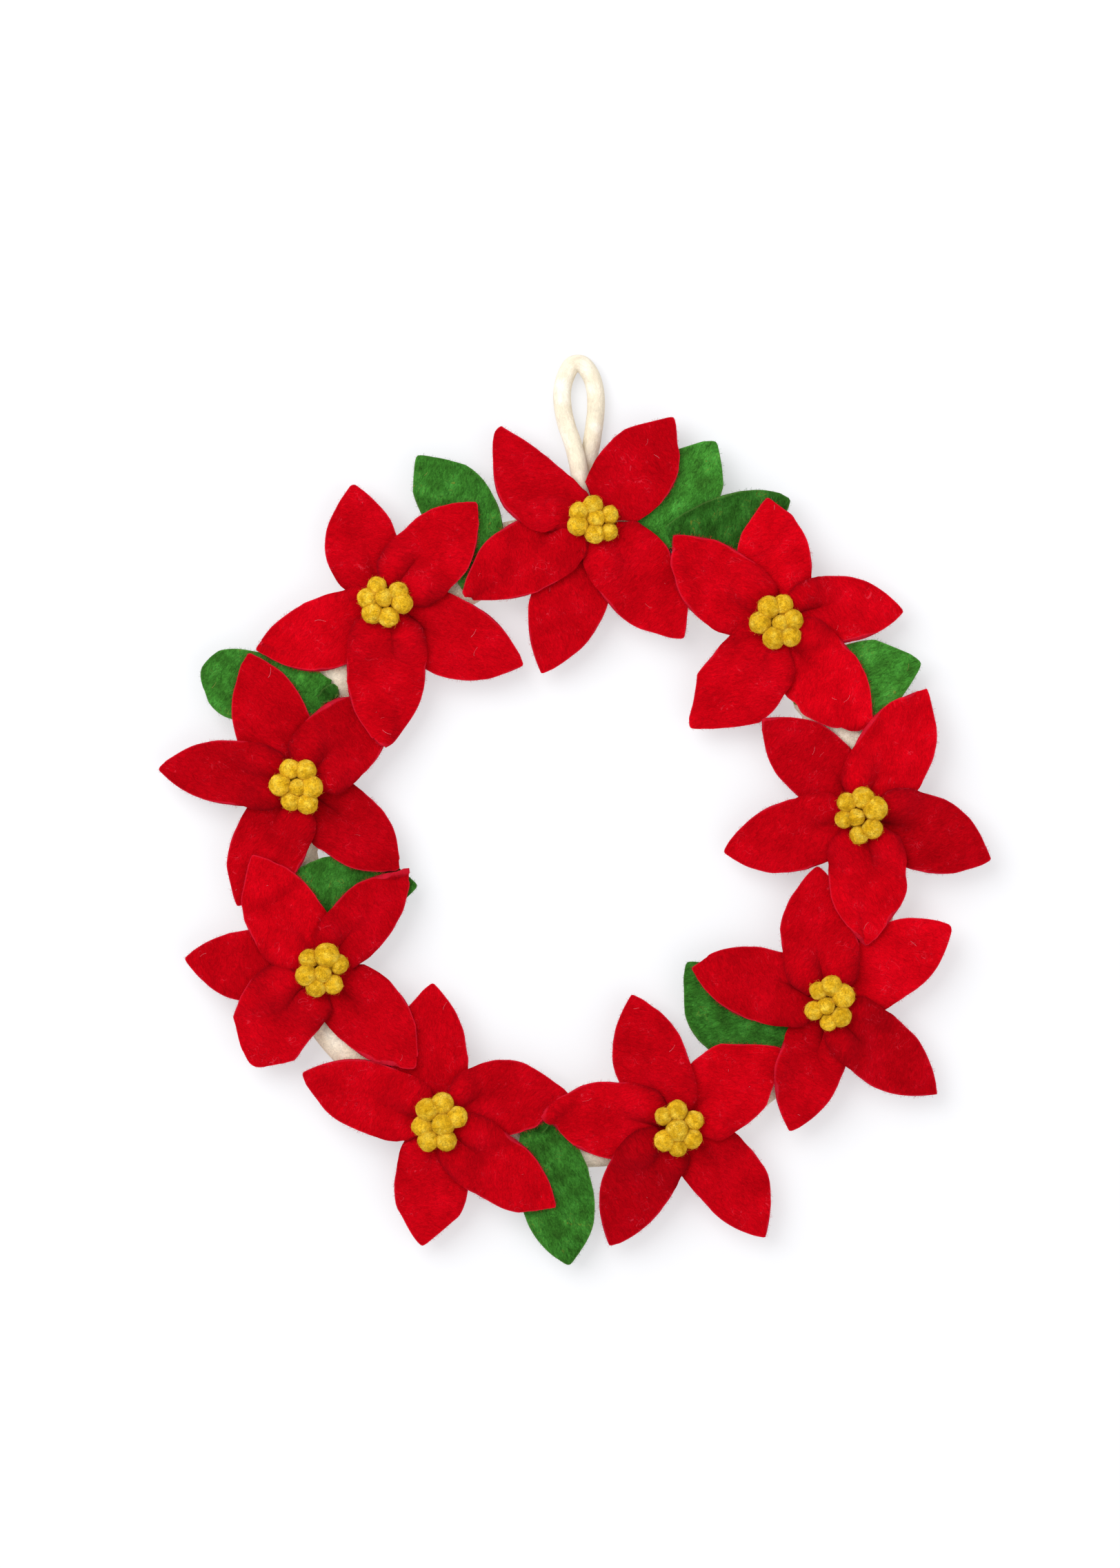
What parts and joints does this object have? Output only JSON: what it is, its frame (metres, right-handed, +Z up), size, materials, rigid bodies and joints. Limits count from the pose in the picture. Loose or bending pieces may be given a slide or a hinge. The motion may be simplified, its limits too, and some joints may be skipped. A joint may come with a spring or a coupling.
{
  "type": "felt poinsettia wreath",
  "caption": "Round wreath of red felt poinsettias with wool-ball hearts and green felt leaves on a padded felt ring, with a felt cord hanging loop.",
  "frame": {"origin": "on the surface the wreath lies on, under the middle of its outline without the hanging loop", "axes": "+Z up, out of the wreath's face; +Y towards the hanging loop; +X to the right, seen from the front"},
  "size_m": [0.3546, 0.389, 0.0342],
  "materials": {
    "cream_felt": "matte wool felt, cream",
    "cream_cord": "matte felted wool cord, cream",
    "green_felt": "matte wool felt, green",
    "red_felt": "matte wool felt, red",
    "mustard_wool": "matte felted wool balls, mustard"
  },
  "bodies": {
    "root": {"ring": "cream_felt", "hanging_loop": "cream_cord", "leaf_1": "green_felt", "leaf_2": "green_felt", "leaf_3": "green_felt", "leaf_4": "green_felt", "leaf_5": "green_felt", "leaf_6": "green_felt", "leaf_7": "green_felt", "leaf_8": "green_felt", "flower_1": "red_felt", "flower_2": "red_felt", "flower_3": "red_felt", "flower_4": "red_felt", "flower_5": "red_felt", "flower_6": "red_felt", "flower_7": "red_felt", "flower_8": "red_felt", "flower_9": "red_felt", "heart_1": "mustard_wool", "heart_2": "mustard_wool", "heart_3": "mustard_wool", "heart_4": "mustard_wool", "heart_5": "mustard_wool", "heart_6": "mustard_wool", "heart_7": "mustard_wool", "heart_8": "mustard_wool", "heart_9": "mustard_wool"}
  },
  "joints": []
}
